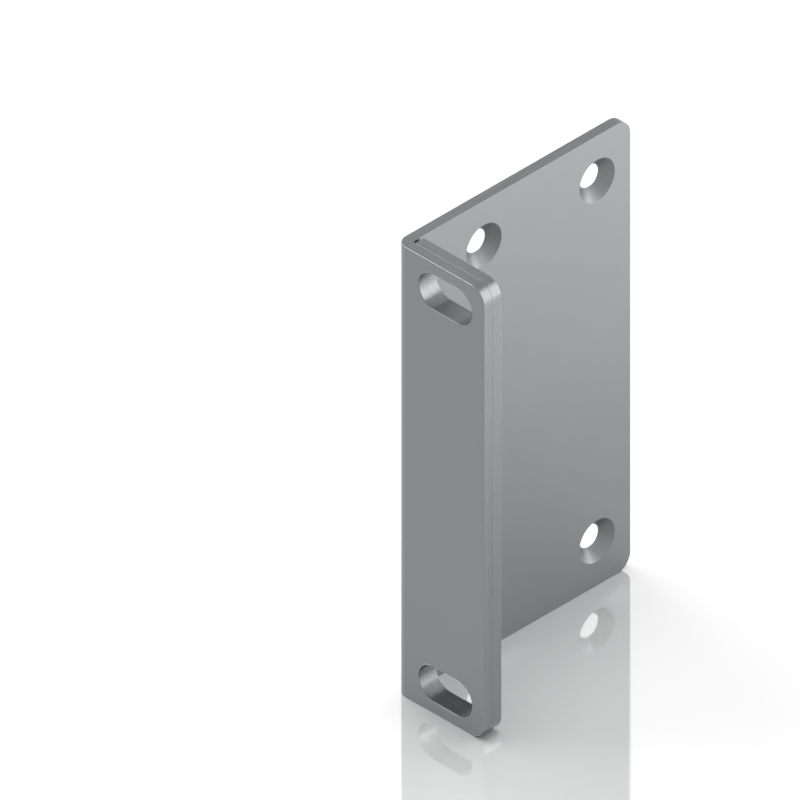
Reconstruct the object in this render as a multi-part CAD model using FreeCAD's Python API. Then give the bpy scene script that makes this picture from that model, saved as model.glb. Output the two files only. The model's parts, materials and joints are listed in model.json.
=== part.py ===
"""Rack mount ear bracket for a two-unit chassis, right-hand side, in millimetres.

The ear is a sheet folded once at a right angle. Its narrow leaf is the rack flange and its wide
leaf is the side plate that bolts to the chassis. A flat doubler plate of its own lies behind the
flange, with the same outline and the same slots, and stops just short of the bend.

Frame: +Z is up the rack, -Y is the front of the rack, and -X is the chassis side. The origin is
the centre of the four-hole pattern, on the side plate's chassis face.
"""
import FreeCAD, Part
import math
import os

# Rack slots, one near each end of the flange
slot_length = 12.0
slot_width = 6.8
slot_spacing = 76.2           # outer holes of two rack units
slot_to_end = 5.6             # slots' centres to the ear's top and bottom
slot_to_free_edge = 8.75

# Leaves
flange_reach = 20.0           # chassis face to the flange's free edge
side_depth = 51.0             # front face of the flange to the side plate's far edge
corner_radius = 3.0           # all free corners of both leaves and of the doubler
hidden_corner_radius = 0.2    # the doubler's corners beside the bend

# Sheet metal
sheet_thickness = 2.0
doubler_thickness = 2.0
bend_inner_radius = 0.35
doubler_relief = 0.1          # from the end of the bend's inner radius to the doubler's end
edge_break = 0.15             # deburring radius along the edges of both sheets
seam_break = 0.05             # the same, along the faces that lie together at the flange

# Chassis holes in the side plate, countersunk on the side away from the chassis
hole_diameter = 4.3
countersink_angle = 90.0
countersink_land = 0.15       # straight bore left under the countersink, at the chassis face
hole_spacing_depth = 25.5     # along Y
holes_from_front = 18.0       # front face to the nearer pair of holes
hole_to_end = 8.7             # holes' centres to the ear's top and bottom

# Cutters run past the sheets by this much
overrun = 1.0

# Places that follow from the sizes above
ear_height = slot_spacing + 2 * slot_to_end
hole_spacing_height = ear_height - 2 * hole_to_end
bottom_z = -ear_height / 2
front_y = -(holes_from_front + hole_spacing_depth / 2)
seam_y = front_y + sheet_thickness
rail_y = seam_y + doubler_thickness
far_y = front_y + side_depth
bend_outer_radius = bend_inner_radius + sheet_thickness
doubler_start_x = sheet_thickness + bend_inner_radius + doubler_relief
slot_x = flange_reach - slot_to_free_edge

AXIS_X = FreeCAD.Vector(1, 0, 0)
AXIS_Y = FreeCAD.Vector(0, 1, 0)
AXIS_Z = FreeCAD.Vector(0, 0, 1)
TOLERANCE = 1e-4
SMOOTH_DOT = 0.9              # faces whose normals agree better than this run smoothly on


def arc(centre, radius, start_deg, end_deg, z):
    """A circular arc in a level plane, from one angle about its centre to another."""
    points = []
    for angle in (start_deg, (start_deg + end_deg) / 2, end_deg):
        turn = math.radians(angle)
        x = centre[0] + radius * math.cos(turn)
        y = centre[1] + radius * math.sin(turn)
        points.append(FreeCAD.Vector(x, y, z))
    return Part.Arc(*points).toShape()


def folded_section():
    """The folded sheet seen from above: two leaves of one thickness round a common bend centre."""
    z = bottom_z
    centre = (bend_outer_radius, front_y + bend_outer_radius)
    outer_front = FreeCAD.Vector(centre[0], front_y, z)
    outer_side = FreeCAD.Vector(0, centre[1], z)
    inner_front = FreeCAD.Vector(centre[0], seam_y, z)
    inner_side = FreeCAD.Vector(sheet_thickness, centre[1], z)
    free_front = FreeCAD.Vector(flange_reach, front_y, z)
    free_back = FreeCAD.Vector(flange_reach, seam_y, z)
    far_outer = FreeCAD.Vector(0, far_y, z)
    far_inner = FreeCAD.Vector(sheet_thickness, far_y, z)
    edges = [
        Part.makeLine(free_front, outer_front),
        arc(centre, bend_outer_radius, 270, 180, z),
        Part.makeLine(outer_side, far_outer),
        Part.makeLine(far_outer, far_inner),
        Part.makeLine(far_inner, inner_side),
        arc(centre, bend_inner_radius, 180, 270, z),
        Part.makeLine(inner_front, free_back),
        Part.makeLine(free_back, free_front),
    ]
    return Part.Face(Part.Wire(edges))


def runs_along(edge, axis):
    """True for a straight edge parallel to the axis."""
    if not isinstance(edge.Curve, Part.Line):
        return False
    return abs(edge.tangentAt(edge.FirstParameter).dot(axis)) > 1 - TOLERANCE


def round_corners(sheet, radius, end_axis, end, thickness_axis):
    """Round the two corners at one end of a leaf, where short edges cross the sheet's thickness."""
    corners = []
    for edge in sheet.Edges:
        at_end = abs(edge.CenterOfMass.dot(end_axis) - end) < TOLERANCE
        if at_end and runs_along(edge, thickness_axis):
            corners.append(edge)
    return sheet.makeFillet(radius, corners)


def is_sharp(sheet, edge):
    """True where the two faces beside an edge meet at an angle, and don't run smoothly on."""
    faces = sheet.ancestorsOfType(edge, Part.Face)
    if len(faces) != 2:
        return False
    middle = edge.valueAt((edge.FirstParameter + edge.LastParameter) / 2)
    normals = []
    for face in faces:
        u, v = face.Surface.parameter(middle)
        normals.append(face.normalAt(u, v))
    return normals[0].dot(normals[1]) < SMOOTH_DOT


def lies_at_seam(edge):
    """True for an edge in the plane where the two sheets meet."""
    return edge.BoundBox.YLength < TOLERANCE and abs(edge.CenterOfMass.y - seam_y) < TOLERANCE


def sharp_edges(sheet):
    return [edge for edge in sheet.Edges if is_sharp(sheet, edge)]


def break_outline(sheet):
    """Take the sharpness off every edge of a sheet that has no slots or holes yet, and less of it at the seam."""
    sheet = sheet.makeFillet(seam_break, [edge for edge in sharp_edges(sheet) if lies_at_seam(edge)])
    return sheet.makeFillet(edge_break, sharp_edges(sheet))


def slot_centres():
    return [FreeCAD.Vector(slot_x, 0, side * slot_spacing / 2) for side in (-1, 1)]


def slot_cutter(centre, start_y, end_y):
    """A round-ended slot that lies along X, as a solid from one Y to another."""
    radius = slot_width / 2
    half = slot_length / 2 - radius
    low = centre.z - radius
    high = centre.z + radius
    left = centre.x - half
    right = centre.x + half
    corners = [
        FreeCAD.Vector(left, start_y, low),
        FreeCAD.Vector(right, start_y, low),
        FreeCAD.Vector(right, start_y, high),
        FreeCAD.Vector(left, start_y, high),
    ]
    right_tip = FreeCAD.Vector(right + radius, start_y, centre.z)
    left_tip = FreeCAD.Vector(left - radius, start_y, centre.z)
    edges = [
        Part.makeLine(corners[0], corners[1]),
        Part.Arc(corners[1], right_tip, corners[2]).toShape(),
        Part.makeLine(corners[2], corners[3]),
        Part.Arc(corners[3], left_tip, corners[0]).toShape(),
    ]
    return Part.Face(Part.Wire(edges)).extrude(AXIS_Y * (end_y - start_y))


def cut_slots(sheet, exposed_y):
    """Punch both rack slots and break their rims on the face that stays exposed."""
    start_y = front_y - overrun
    end_y = rail_y + overrun
    for centre in slot_centres():
        sheet = sheet.cut(slot_cutter(centre, start_y, end_y))
    rims = []
    for edge in sheet.Edges:
        middle = edge.CenterOfMass
        inside = any(abs(middle.z - centre.z) <= slot_width / 2 + TOLERANCE for centre in slot_centres())
        on_face = edge.BoundBox.YLength < TOLERANCE and abs(middle.y - exposed_y) < TOLERANCE
        if inside and on_face and abs(middle.x - slot_x) < slot_length / 2:
            rims.append(edge)
    return sheet.makeFillet(edge_break, rims)


def hole_cutter(centre):
    """A bore through the side plate, with a cone that opens towards +X down to the land."""
    radius = hole_diameter / 2
    start = centre - AXIS_X * overrun
    bore = Part.makeCylinder(radius, sheet_thickness + 2 * overrun, start, AXIS_X)
    cone_depth = sheet_thickness - countersink_land + overrun
    mouth_radius = radius + cone_depth * math.tan(math.radians(countersink_angle / 2))
    cone_start = centre + AXIS_X * countersink_land
    return bore.fuse(Part.makeCone(radius, mouth_radius, cone_depth, cone_start, AXIS_X))


def countersink_holes(sheet):
    """Drill the four chassis holes, centred on the origin."""
    for side in (-1, 1):
        for end in (-1, 1):
            centre = FreeCAD.Vector(0, side * hole_spacing_depth / 2, end * hole_spacing_height / 2)
            sheet = sheet.cut(hole_cutter(centre))
    return sheet


def folded_plate():
    """The ear proper: rack flange and side plate in one folded sheet."""
    sheet = folded_section().extrude(AXIS_Z * ear_height)
    sheet = round_corners(sheet, corner_radius, AXIS_X, flange_reach, AXIS_Y)
    sheet = round_corners(sheet, corner_radius, AXIS_Y, far_y, AXIS_X)
    sheet = break_outline(sheet)
    sheet = cut_slots(sheet, front_y)
    return countersink_holes(sheet)


def doubler_plate():
    """The flat plate behind the flange, flush with its free edge, top and bottom."""
    width = flange_reach - doubler_start_x
    corner = FreeCAD.Vector(doubler_start_x, seam_y, bottom_z)
    sheet = Part.makeBox(width, doubler_thickness, ear_height, corner)
    sheet = round_corners(sheet, corner_radius, AXIS_X, flange_reach, AXIS_Y)
    sheet = round_corners(sheet, hidden_corner_radius, AXIS_X, doubler_start_x, AXIS_Y)
    sheet = break_outline(sheet)
    return cut_slots(sheet, rail_y)


def main():
    os.makedirs("parts", exist_ok=True)
    pieces = {"folded_plate": folded_plate(), "doubler_plate": doubler_plate()}
    for name, shape in pieces.items():
        solid = shape.Solids[0]
        print(name, "solids", len(shape.Solids), "valid", solid.isValid(), "volume", round(solid.Volume, 3))
        solid.exportStep(f"parts/{name}.step")


main()
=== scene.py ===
"""Rack mount ear bracket: finished surfaces of the folded ear and the doubler plate at its flange.

Each plate is made as a flat blank and then folded. A blank's coordinates are s along its developed
length, with s = 0 where the flange meets the bend, z up the rack, and t through the sheet from its
outer face to its inner face.
"""
import json
import math
import bpy
import numpy as np
from mathutils import Matrix, Vector
from mathutils.geometry import delaunay_2d_cdt


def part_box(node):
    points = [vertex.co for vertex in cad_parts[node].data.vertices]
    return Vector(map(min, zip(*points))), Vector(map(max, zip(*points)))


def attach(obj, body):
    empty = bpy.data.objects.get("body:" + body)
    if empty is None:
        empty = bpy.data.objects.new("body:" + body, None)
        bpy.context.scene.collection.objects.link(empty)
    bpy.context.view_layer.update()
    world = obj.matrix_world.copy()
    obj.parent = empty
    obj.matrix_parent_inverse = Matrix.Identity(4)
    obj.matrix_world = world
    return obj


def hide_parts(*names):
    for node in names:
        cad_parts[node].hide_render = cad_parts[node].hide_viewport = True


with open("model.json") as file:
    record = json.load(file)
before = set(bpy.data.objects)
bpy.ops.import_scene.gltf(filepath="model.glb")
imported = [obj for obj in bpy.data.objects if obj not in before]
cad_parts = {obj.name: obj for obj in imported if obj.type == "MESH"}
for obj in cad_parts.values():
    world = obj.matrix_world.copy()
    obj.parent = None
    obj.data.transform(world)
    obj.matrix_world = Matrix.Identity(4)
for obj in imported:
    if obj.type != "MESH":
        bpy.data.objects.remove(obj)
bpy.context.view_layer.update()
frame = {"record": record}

MM = 0.001
QUARTER = math.pi / 2
WHITE = (1, 1, 1, 1)

# A rectangle's corners, anticlockwise, by the signs of s and z
CORNER_SIGNS = np.array([(1, 1), (-1, 1), (-1, -1), (1, -1)])

# Places and sizes that the frame holds
folded_low, folded_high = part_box("folded_plate")
doubler_low, doubler_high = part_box("doubler_plate")
mounts = {mount["name"]: mount for mount in frame["record"]["mounts"]}
holes = mounts["chassis_bolts"]["dims"]
slots = [mounts["lower_rack_slot"], mounts["upper_rack_slot"]]
sheet_thickness = doubler_low.y - folded_low.y
doubler_thickness = doubler_high.y - doubler_low.y

# Radii of the bend, of the free corners and of the broken edges
bend_inner_radius = 0.35 * MM
bend_outer_radius = bend_inner_radius + sheet_thickness
corner_radius = 3.0 * MM
doubler_inner_radius = 0.2 * MM      # the doubler's two corners beside the bend
edge_break = 0.15 * MM
seam_break = 0.05 * MM               # along the faces where the plates lie together
hidden_break = 0.01 * MM             # slots' rims on those faces
turned_break = 0.03 * MM             # rims of the chassis holes
countersink_land = 0.15 * MM

# The fold
bend_length = QUARTER * (bend_inner_radius + sheet_thickness / 2)
bend_centre_x = folded_low.x + bend_outer_radius
side_length = folded_high.y - folded_low.y - bend_outer_radius

# Fineness of the meshes
lattice_step = 2.0 * MM
lattice_clearance = 0.6 * MM
bend_steps = 32
round_steps = 28
break_step = 0.025 * MM
same_place = 1e-9                    # points of a loop nearer than this, in metres, are one
station_digits = 9                   # the same for stations, in decimal places of a metre
merge_distance = 1e-6                # the triangulation's own tolerance, in millimetres

# Camera: the picture's size, the pixel where the bend's lower outer corner would be if it were
# square, the scale, the view's direction in degrees, and its distance and reach in metres
PICTURE_PIXELS = 800
CORNER_PIXEL = (395.1, 691.3)
PIXELS_PER_MM = 6.281
CAMERA_AZIMUTH = 44.96
CAMERA_ELEVATION = 34.99
CAMERA_DISTANCE = 0.6
CAMERA_REACH = 10

# Colours of the satin steel on the sheet's faces and on its cut edges
FACE_COLOUR = (0.213, 0.2195, 0.224)
EDGE_COLOUR = (0.198, 0.2035, 0.2075)

# The room's light on matt surfaces, where 1 is white
ROOM_LIGHT = 0.3

# The floor: half its width in metres, its matt colour, and its sheen's share and roughness
FLOOR_REACH = 2.0
FLOOR_COLOUR = (0.95, 0.95, 0.95, 1)
FLOOR_SHEEN = 0.5
FLOOR_ROUGHNESS = 0.05


def rounded_loop(low, high, radii, stations):
    """Points and outward normals round a rectangle with four rounded corners, anticlockwise.

    Each corner is a quarter circle, centre + radius * (cos a, sin a). The first corner is the
    (+s, +z) one, and a goes on by a quarter turn from corner to corner. The straight runs between
    the corners get a point at every station that lies on them.
    """
    turn = np.linspace(0, QUARTER, round_steps + 1)
    points, normals = [], []
    for corner, (sign, radius) in enumerate(zip(CORNER_SIGNS, radii)):
        centre = np.where(sign > 0, high - radius, low + radius)
        angle = turn + corner * QUARTER
        normal = np.stack([np.cos(angle), np.sin(angle)], axis=1)
        arc = centre + radius * normal
        axis = corner % 2
        marks = np.array(stations[axis])
        margin = max(radii) + edge_break
        marks = marks[(marks > low[axis] + margin) & (marks < high[axis] - margin)]
        run = np.tile(arc[-1], (len(marks), 1))
        run[:, axis] = marks[::-1] if corner < 2 else marks
        points += [arc, run]
        normals += [normal, np.tile(normal[-1], (len(marks), 1))]
    points, normals = np.concatenate(points), np.concatenate(normals)
    apart = np.linalg.norm(points - np.roll(points, 1, axis=0), axis=1) > same_place
    return points[apart], normals[apart]


def rounded_distance(points, low, high, radii):
    """Distance of points from a rectangle with rounded corners, less than zero inside it.

    The radius r is that of the corner in the point's own quarter. With q the distance past the
    rectangle's sides, the distance is |max(q + r, 0)| + min(max(q + r), 0) - r.
    """
    away = points - (low + high) / 2
    right, upper = away[:, 0] > 0, away[:, 1] > 0
    right_radius = np.where(upper, radii[0], radii[3])
    left_radius = np.where(upper, radii[1], radii[2])
    radius = np.where(right, right_radius, left_radius)
    past = np.abs(away) - (high - low) / 2 + radius[:, None]
    outside = np.linalg.norm(np.maximum(past, 0), axis=1)
    return outside + np.minimum(past.max(axis=1), 0) - radius


def section(corners, breaks):
    """Rows (inset, t) of an edge's section, from the outer face round its corners to the inner.

    Also gives the rows' normals, and for each strip between two rows whether it belongs to a broken
    corner.

    The section arrives along the outer face and leaves along the inner one. A corner with a break
    of radius r is an arc: centre + r * n(d), where d turns from the direction before the corner to
    the one after it, n(d) is d turned left, and the centre lies r * tan(turn / 2) before the corner
    and r inside the surface.
    """
    corners = np.array(corners, float)
    between = [math.atan2(b[1] - a[1], b[0] - a[0]) for a, b in zip(corners, corners[1:])]
    ways = [math.pi] + between + [0]
    rows, normals, broken = [], [], []
    for corner, radius, before, after in zip(corners, breaks, ways, ways[1:]):
        tangent = radius * math.tan((before - after) / 2)
        along = np.array((math.cos(before), math.sin(before)))
        left = np.array((-math.sin(before), math.cos(before)))
        way = np.linspace(before, after, max(2, round(radius / break_step)) + 1)
        normal = np.stack([-np.sin(way), np.cos(way)], axis=1)
        rows.append(corner - tangent * along - radius * left + radius * normal)
        normals.append(normal)
        broken += [True] * (len(way) - 1) + [False]
    return np.concatenate(rows), np.concatenate(normals), np.array(broken[:-1])


def square_edge(thickness, outer_break, inner_break):
    """The section of an edge cut square through a sheet."""
    return section([(0, 0), (0, thickness)], [outer_break, inner_break])


def countersunk_edge(thickness, bore_radius, mouth_radius):
    """The section of a countersunk hole: a short land, then the cone up to the inner face."""
    corners = [(0, 0), (0, countersink_land), (mouth_radius - bore_radius, thickness)]
    return section(corners, [turned_break] * 3)


class Edge:
    """A closed edge of a blank: a rounded rectangle in s and z with a section carried round it.

    An edge with stations is the blank's outline, with the metal inside it. Without them it is an
    opening.
    """

    def __init__(self, low, high, radii, edge_section, finish, stations=None):
        self.low, self.high, self.radii = np.array(low), np.array(high), np.array(radii)
        self.rows, self.row_normals, self.broken = edge_section
        self.finish = finish
        self.side = -1 if stations is None else 1
        self.points, self.normals = rounded_loop(self.low, self.high, radii, stations or ((), ()))

    def grid(self):
        """Blank coordinates and normals, as points by rows.

        Each row is the loop moved into the metal by the row's inset.
        """
        out = self.side * self.normals[:, None]
        flat = self.points[:, None] - self.rows[None, :, :1] * out
        tilt = -self.row_normals[None, :, :1] * out
        size = flat.shape[:2] + (1,)
        depth = np.broadcast_to(self.rows[None, :, 1:], size)
        lift = np.broadcast_to(self.row_normals[None, :, 1:], size)
        return np.concatenate([flat, depth], axis=2), np.concatenate([tilt, lift], axis=2)

    def metal_depth(self, points, row):
        """How far points lie in the metal from this edge, measured at its first or last row."""
        inset = self.side * self.rows[row, 0]
        away = rounded_distance(points, self.low + inset, self.high - inset, self.radii - inset)
        return -self.side * away


def fill_face(edges, starts, lattice, lattice_start, row):
    """Triangles of a flat face between its edges' first or last rows, through the lattice in it."""
    loops = [start + np.arange(len(edge.points)) * len(edge.rows) + row % len(edge.rows)
             for edge, start in zip(edges, starts)]
    outlines = [edge.points - edge.side * edge.rows[row, 0] * edge.normals for edge in edges]
    inner = np.min([edge.metal_depth(lattice, row) for edge in edges], axis=0) > lattice_clearance
    places = np.concatenate(outlines + [lattice[inner]])
    numbers = np.concatenate(loops + [lattice_start + np.flatnonzero(inner)])
    borders, first = [], 0
    for outline in outlines:
        order = first + np.arange(len(outline))
        borders.append(np.stack([order, np.roll(order, -1)], axis=1))
        first += len(outline)
    # Millimetres keep the triangulation's own tolerance small beside the steps
    flat = [Vector(point) for point in places / MM]
    borders = np.concatenate(borders).tolist()
    _, _, found, sources, _, _ = delaunay_2d_cdt(flat, borders, [], 0, merge_distance)
    origin = np.array([source[0] for source in sources])
    triangles = origin[np.array(found)]
    middles = places[triangles].mean(axis=1)
    kept = np.min([edge.metal_depth(middles, row) for edge in edges], axis=0) > 0
    return numbers[triangles[kept]]


def fold(blank, normals, face_y):
    """Places and normals of a blank folded round the bend, with the flange's outer face at face_y.

    The flange lies along +X and the side plate along +Y. Between them a point at depth t lies on a
    circle of radius outer radius - t about the bend's centre, and its angle grows evenly with -s.
    """
    s, z, t = np.moveaxis(blank, -1, 0)
    turn = np.clip(-s / bend_length, 0, 1) * QUARTER
    along = np.stack([np.cos(turn), -np.sin(turn)], axis=-1)
    inward = np.stack([np.sin(turn), np.cos(turn)], axis=-1)
    centre = np.array((bend_centre_x, face_y + bend_outer_radius))
    run = np.maximum(s, 0) + np.minimum(s + bend_length, 0)
    level = centre + run[..., None] * along + (t - bend_outer_radius)[..., None] * inward
    tilt = normals[..., :1] * along + normals[..., 2:] * inward
    places = np.stack([level[..., 0], level[..., 1], z], axis=-1)
    return places, np.stack([tilt[..., 0], tilt[..., 1], normals[..., 1]], axis=-1)


def facing_out(faces, corner_normals, places):
    """Faces of one patch, turned over together if their corners run against their normals."""
    a, b, c = (places[faces[:, corner]] for corner in range(3))
    if np.einsum("ij,ij->", np.cross(b - a, c - a), corner_normals[:, 0]) < 0:
        return faces[:, ::-1], corner_normals[:, ::-1]
    return faces, corner_normals


def plate(name, edges, lattice, thickness, face_y, finishes):
    """A closed mesh of one plate: a band of quads round each edge, and flat faces between them.

    The broken corners of an edge have the faces' finish, and the rest of it has its own.
    """
    grids = [edge.grid() for edge in edges]
    sizes = [grid.shape[0] * grid.shape[1] for grid, _ in grids]
    starts = np.concatenate([[0], np.cumsum(sizes)[:-1]])
    outer_start = sum(sizes)
    inner_start = outer_start + len(lattice)
    outer = np.column_stack([lattice, np.zeros(len(lattice))])
    inner = np.column_stack([lattice, np.full(len(lattice), thickness)])
    blank = np.concatenate([grid.reshape(-1, 3) for grid, _ in grids] + [outer, inner])
    edge_normals = np.concatenate([normals.reshape(-1, 3) for _, normals in grids])
    edge_places, edge_normals = fold(blank[:outer_start], edge_normals, face_y)
    patches = []
    for edge, start in zip(edges, starts):
        count = len(edge.points)
        number = start + np.arange(count * len(edge.rows)).reshape(count, -1)
        after = np.roll(number, -1, axis=0)
        quads = np.stack([number[:, :-1], after[:, :-1], after[:, 1:], number[:, 1:]], axis=-1)
        for strips, finish in ((edge.broken, "rolled_face"), (~edge.broken, edge.finish)):
            corners = quads[:, strips].reshape(-1, 4)
            patches.append((corners, edge_normals[corners], finish))
    lattice_places = fold(blank[outer_start:], np.zeros((2 * len(lattice), 3)), face_y)[0]
    places = np.concatenate([edge_places, lattice_places])
    for row, start, side in ((0, outer_start, -1), (-1, inner_start, 1)):
        triangles = fill_face(edges, starts, lattice, start, row)
        flat = np.broadcast_to((0.0, 0.0, side), triangles.shape + (3,))
        patches.append((triangles, fold(blank[triangles], flat, face_y)[1], "rolled_face"))

    patches = [(*facing_out(corners, normals, places), finish)
               for corners, normals, finish in patches]
    kept = np.unique(np.concatenate([corners.ravel() for corners, _, _ in patches]))
    faces = [face for corners, _, _ in patches for face in np.searchsorted(kept, corners).tolist()]
    corner_normals = np.concatenate([normals.reshape(-1, 3) for _, normals, _ in patches])
    order = list(finishes)
    looks = np.concatenate([np.full(len(corners), order.index(finish))
                            for corners, _, finish in patches])
    mesh = bpy.data.meshes.new(name)
    mesh.from_pydata(places[kept].tolist(), [], faces)
    mesh.polygons.foreach_set("material_index", looks.astype(np.int32))
    mesh.polygons.foreach_set("use_smooth", np.ones(len(faces), bool))
    depth = mesh.attributes.new("sheet_depth", "FLOAT", "POINT")
    depth.data.foreach_set("value", (blank[kept, 2] / MM).astype(np.float32))
    mesh.update()
    mesh.normals_split_custom_set(corner_normals.tolist())
    for finish in order:
        mesh.materials.append(finishes[finish])
    piece = bpy.data.objects.new(name, mesh)
    bpy.context.scene.collection.objects.link(piece)
    return piece


def evenly(low, high):
    """Places from low to high, at even steps near the lattice's own."""
    return np.linspace(low, high, max(2, round((high - low) / lattice_step) + 1))


def lattice_of(stations):
    """Every crossing of the stations along s with those along z."""
    s, z = np.meshgrid(*stations, indexing="ij")
    return np.column_stack([s.ravel(), z.ravel()])


def slot_edges(outer_break, inner_break, thickness):
    """Both rack slots in a flange plate, level stadiums about the record's mounts."""
    edges = []
    for slot in slots:
        radius = slot["dims"]["hole_r_mm"] * MM
        half = np.array((slot["dims"]["slot_length_mm"] * MM / 2, radius))
        middle = np.array((slot["pos_m"][0] - bend_centre_x, slot["pos_m"][2]))
        rows = square_edge(thickness, outer_break, inner_break)
        edges.append(Edge(middle - half, middle + half, [radius] * 4, rows, "cut_edge"))
    return edges


def hole_edges():
    """The four countersunk chassis holes, centred on the frame's origin."""
    bore_radius = holes["hole_r_mm"] * MM
    mouth_radius = bore_radius + sheet_thickness - countersink_land
    rows = countersunk_edge(sheet_thickness, bore_radius, mouth_radius)
    edges = []
    for y in (-holes["spacing_x_mm"] * MM / 2, holes["spacing_x_mm"] * MM / 2):
        for z in (-holes["spacing_y_mm"] * MM / 2, holes["spacing_y_mm"] * MM / 2):
            s = -bend_length - (y - folded_low.y - bend_outer_radius)
            low, high = np.array((s, z)) - bore_radius, np.array((s, z)) + bore_radius
            edges.append(Edge(low, high, [bore_radius] * 4, rows, "countersink"))
    return edges


def folded_plate(finishes):
    """The ear: flange, bend and side plate, with slots in one leaf and holes in the other."""
    far_s, free_s = -bend_length - side_length, folded_high.x - bend_centre_x
    bend = np.linspace(-bend_length, 0, bend_steps + 1)
    along = np.concatenate([evenly(far_s, -bend_length), bend, evenly(0, free_s)])
    stations = (np.unique(along.round(station_digits)), evenly(folded_low.z, folded_high.z))
    low, high = (far_s, folded_low.z), (free_s, folded_high.z)
    rows = square_edge(sheet_thickness, edge_break, seam_break)
    outline = Edge(low, high, [corner_radius] * 4, rows, "cut_edge", stations)
    edges = [outline] + slot_edges(edge_break, hidden_break, sheet_thickness) + hole_edges()
    lattice = lattice_of(stations)
    return plate("folded_plate_finish", edges, lattice, sheet_thickness, folded_low.y, finishes)


def doubler_plate(finishes):
    """The flat plate behind the flange, with the same slots."""
    low = (doubler_low.x - bend_centre_x, doubler_low.z)
    high = (doubler_high.x - bend_centre_x, doubler_high.z)
    stations = (evenly(low[0], high[0]), evenly(low[1], high[1]))
    radii = [corner_radius, doubler_inner_radius, doubler_inner_radius, corner_radius]
    rows = square_edge(doubler_thickness, seam_break, edge_break)
    outline = Edge(low, high, radii, rows, "cut_edge", stations)
    edges = [outline] + slot_edges(hidden_break, edge_break, doubler_thickness)
    lattice = lattice_of(stations)
    return plate("doubler_plate_finish", edges, lattice, doubler_thickness, doubler_low.y, finishes)


def place(tree, kind, inputs=(), **settings):
    """A shader node with its settings, each input set to a value or linked from a socket."""
    node = tree.nodes.new(kind if kind.startswith("NodeGroup") else "ShaderNode" + kind)
    for name, value in settings.items():
        setattr(node, name, value)
    for name, value in dict(inputs).items():
        if isinstance(value, bpy.types.NodeSocket):
            tree.links.new(value, node.inputs[name])
        else:
            node.inputs[name].default_value = value
    return node


def maths(tree, operation, *values):
    """The output of one arithmetic node."""
    return place(tree, "Math", dict(enumerate(values)), operation=operation).outputs[0]


def new_group(name, inputs, output):
    """An empty node group with named number inputs and one number output, and its two ends."""
    tree = bpy.data.node_groups.new(name, "ShaderNodeTree")
    tree.interface.new_socket("Vector", in_out="INPUT", socket_type="NodeSocketVector")
    for label, value in inputs.items():
        socket = tree.interface.new_socket(label, in_out="INPUT", socket_type="NodeSocketFloat")
        socket.default_value = value
    tree.interface.new_socket(output, in_out="OUTPUT", socket_type="NodeSocketFloat")
    return tree, place(tree, "NodeGroupInput").outputs, place(tree, "NodeGroupOutput").inputs


def swing(tree, noise, strength):
    """A noise's values, moved to lie about zero and scaled to reach the strength at most."""
    centred = maths(tree, "SUBTRACT", noise.outputs["Fac"], 0.5)
    return maths(tree, "MULTIPLY", maths(tree, "MULTIPLY", centred, 2.0), strength)


def mottle_group():
    """Cloudy variation about zero, with patches Size millimetres across and a swing of Strength."""
    tree, given, made = new_group("mottle", {"Size": 5.0, "Strength": 0.1}, "Value")
    scale = maths(tree, "DIVIDE", 1 / MM, given["Size"])
    clouds = {"Vector": given["Vector"], "Scale": scale, "Detail": 3.0, "Roughness": 0.55}
    noise = place(tree, "TexNoise", clouds)
    tree.links.new(swing(tree, noise, given["Strength"]), made["Value"])
    return tree


def lines_group():
    """Fine lines along a cut edge: noise that changes fast through the sheet, slowly along it."""
    inputs = {"Depth": 0.0, "Spacing": 0.4, "Run": 12.0, "Strength": 0.1}
    tree, given, made = new_group("edge_lines", inputs, "Value")
    run_scale = maths(tree, "DIVIDE", 1 / MM, given["Run"])
    slow = place(tree, "VectorMath", {0: given["Vector"], 3: run_scale}, operation="SCALE")
    deep = place(tree, "CombineXYZ", {"Z": maths(tree, "DIVIDE", given["Depth"], given["Spacing"])})
    spot = place(tree, "VectorMath", {0: slow.outputs[0], 1: deep.outputs[0]}, operation="ADD")
    scratches = {"Vector": spot.outputs[0], "Scale": 1.0, "Detail": 2.0, "Roughness": 0.6}
    noise = place(tree, "TexNoise", scratches)
    tree.links.new(swing(tree, noise, given["Strength"]), made["Value"])
    return tree


def metal(name, colour, roughness, effects):
    """A satin metal.

    Each effect is a row: its group, the group's inputs, and its share of tone, of roughness and of
    height.
    """
    material = bpy.data.materials.new(name)
    material.use_nodes = True
    tree = material.node_tree
    tree.nodes.clear()
    where = place(tree, "TexCoord").outputs["Object"]
    depth = place(tree, "Attribute", attribute_name="sheet_depth").outputs["Fac"]
    tone, rough, height = 1.0, roughness, 0.0
    for effect, inputs, tone_share, rough_share, height_share in effects:
        node = place(tree, "Group", node_tree=effect)
        tree.links.new(where, node.inputs["Vector"])
        for label, value in inputs.items():
            node.inputs[label].default_value = value
        if "Depth" in node.inputs:
            tree.links.new(depth, node.inputs["Depth"])
        value = node.outputs["Value"]
        tone = maths(tree, "MULTIPLY_ADD", value, tone_share, tone)
        rough = maths(tree, "MULTIPLY_ADD", value, rough_share, rough)
        height = maths(tree, "MULTIPLY_ADD", value, height_share, height)
    paint = place(tree, "VectorMath", {0: colour, 3: tone}, operation="SCALE").outputs[0]
    relief = {"Height": height, "Distance": MM, "Strength": 1.0}
    bump = place(tree, "Bump", relief).outputs["Normal"]
    surface = {"Base Color": paint, "Roughness": rough, "Metallic": 1.0, "Normal": bump}
    shader = place(tree, "BsdfPrincipled", surface)
    place(tree, "OutputMaterial", {"Surface": shader.outputs[0]})
    return material


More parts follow.
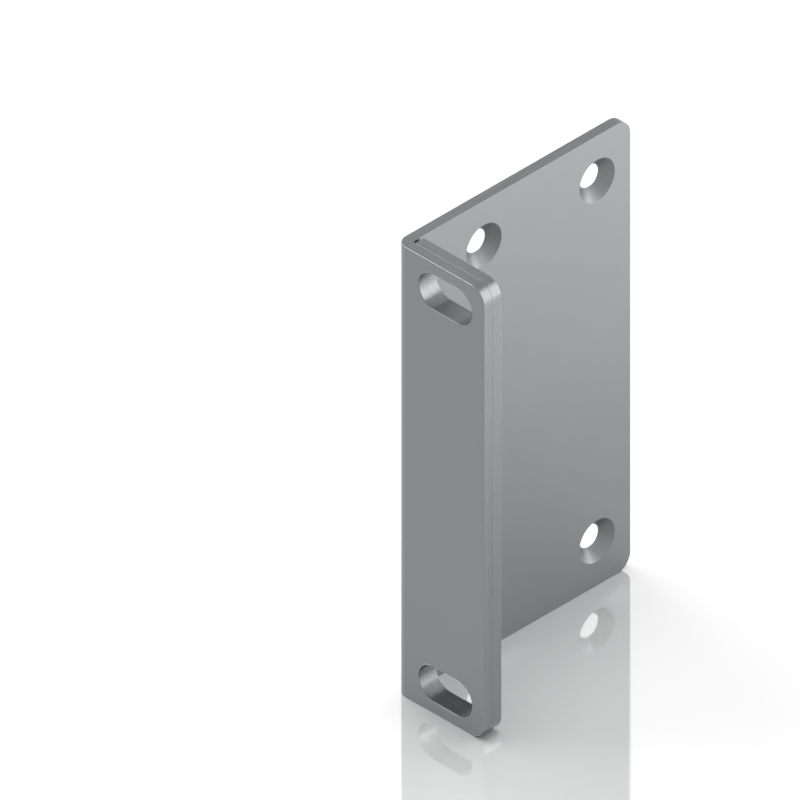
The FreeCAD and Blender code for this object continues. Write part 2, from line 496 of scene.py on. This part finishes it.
def plate_finishes():
    """The finishes of the sheet's faces, its cut edges and its countersinks."""
    mottle, lines = mottle_group(), lines_group()
    grain = {"Size": 0.35, "Strength": 1.0}
    clouds = {"Size": 9.0, "Strength": 1.0}
    rolled = metal("rolled_face", FACE_COLOUR, 0.36,
                   [(mottle, clouds, 0.03, 0.03, 0.0), (mottle, grain, 0.02, 0.03, 0.0004)])
    cut = metal("cut_edge", EDGE_COLOUR, 0.3,
                [(lines, {"Spacing": 0.22, "Run": 14.0, "Strength": 1.0}, 0.2, 0.24, 0.003),
                 (mottle, grain, 0.03, 0.03, 0.0004)])
    turned = metal("countersink", FACE_COLOUR, 0.48,
                   [(lines, {"Spacing": 0.22, "Run": 20.0, "Strength": 1.0}, 0.16, 0.08, 0.004),
                    (mottle, grain, 0.02, 0.02, 0.0003)])
    return {"rolled_face": rolled, "cut_edge": cut, "countersink": turned}


def seen_directly(tree):
    """1 for rays from the camera or a mirror-like surface, and 0 for light that falls on things."""
    rays = place(tree, "LightPath").outputs
    either = maths(tree, "MAXIMUM", rays["Is Camera Ray"], rays["Is Glossy Ray"])
    return maths(tree, "MAXIMUM", either, rays["Is Transmission Ray"])


def pale_room():
    """Soft even light from all round, with a white background."""
    world = bpy.data.worlds.new("pale_room")
    bpy.context.scene.world = world
    world.use_nodes = True
    tree = world.node_tree
    tree.nodes.clear()
    strength = maths(tree, "MULTIPLY_ADD", seen_directly(tree), 1 - ROOM_LIGHT, ROOM_LIGHT)
    room = place(tree, "Background", {"Color": WHITE, "Strength": strength})
    place(tree, "OutputWorld", {"Surface": room.outputs[0]})


def pale_floor():
    """A wide white floor with a soft sheen."""
    corners = [(FLOOR_REACH * s, FLOOR_REACH * t, folded_low.z) for s, t in CORNER_SIGNS.tolist()]
    mesh = bpy.data.meshes.new("floor")
    mesh.from_pydata(corners, [], [(0, 1, 2, 3)])
    material = bpy.data.materials.new("floor")
    material.use_nodes = True
    tree = material.node_tree
    tree.nodes.clear()
    matt = place(tree, "BsdfDiffuse", {"Color": FLOOR_COLOUR})
    sheen = place(tree, "BsdfAnisotropic", {"Color": WHITE, "Roughness": FLOOR_ROUGHNESS})
    both = place(tree, "MixShader", {0: FLOOR_SHEEN, 1: matt.outputs[0], 2: sheen.outputs[0]})
    place(tree, "OutputMaterial", {"Surface": both.outputs[0]})
    mesh.materials.append(material)
    floor = bpy.data.objects.new("floor", mesh)
    bpy.context.scene.collection.objects.link(floor)


def direction(azimuth, elevation):
    """The unit vector at an azimuth and elevation in degrees: azimuth 0 is -Y, and 90 is +X."""
    turn, lift = math.radians(azimuth), math.radians(elevation)
    level = math.cos(lift)
    return Vector((math.sin(turn) * level, -math.cos(turn) * level, math.sin(lift)))


def softbox(name, bearing, distance, size, brightness, back=None, mirrored=True):
    """A soft rectangular lamp, placed by its azimuth and elevation from the middle of the object.

    It faces the middle, or away from the azimuth and elevation named as its back. Its distance and
    size are in metres, and a brightness of 1 is as bright as white. A lamp that isn't mirrored
    lights only matt surfaces.
    """
    lamp = bpy.data.lights.new(name, "AREA")
    lamp.shape = "RECTANGLE"
    lamp.size, lamp.size_y = size
    lamp.energy = brightness * math.pi * size[0] * size[1]
    spot = (folded_low + folded_high) / 2 + distance * direction(*bearing)
    turned = direction(*(back or bearing)).to_track_quat("Z", "Y")
    box = bpy.data.objects.new(name, lamp)
    box.matrix_world = Matrix.Translation(spot) @ turned.to_matrix().to_4x4()
    box.visible_camera = False
    box.visible_glossy = mirrored
    bpy.context.scene.collection.objects.link(box)


def camera():
    """A view without perspective, placed so that the bend's lower outer corner meets its pixel."""
    back = direction(CAMERA_AZIMUTH, CAMERA_ELEVATION)
    right = Vector((-back.y, back.x, 0)).normalized()
    up = back.cross(right)
    lens = bpy.data.cameras.new("camera")
    lens.type = "ORTHO"
    lens.ortho_scale = PICTURE_PIXELS / PIXELS_PER_MM * MM
    lens.clip_end = CAMERA_REACH
    middle = Vector((PICTURE_PIXELS / 2 - CORNER_PIXEL[0], CORNER_PIXEL[1] - PICTURE_PIXELS / 2))
    middle *= MM / PIXELS_PER_MM
    target = folded_low + middle.x * right + middle.y * up
    eye = bpy.data.objects.new("camera", lens)
    rotation = Matrix((right, up, back)).transposed().to_4x4()
    eye.matrix_world = Matrix.Translation(target + CAMERA_DISTANCE * back) @ rotation
    bpy.context.scene.collection.objects.link(eye)
    bpy.context.scene.camera = eye


finishes = plate_finishes()
pieces = {"folded_plate": folded_plate(finishes), "doubler_plate": doubler_plate(finishes)}
for node, piece in pieces.items():
    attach(piece, "root")
    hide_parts(node)

pale_floor()
pale_room()
softbox("right_low", (135, 0), 0.19, (0.6, 0.08), 1.52)
softbox("corner_light", (105.6, 50.5), 0.083, (0.05, 0.056), 2.7, back=(180, 0))
softbox("right_back", (158, 16), 0.6, (0.3, 0.2), 3.5)
softbox("upper_hole_light", (167, 44), 0.093, (0.07, 0.06), 1.35, back=(128, -33))
softbox("left_high", (-72, 54), 0.53, (0.5, 0.15), 6.0)
softbox("overhead", (-135, 85), 1.5, (0.6, 0.6), 11.8, mirrored=False)
camera()
bpy.context.scene.view_settings.view_transform = "Standard"
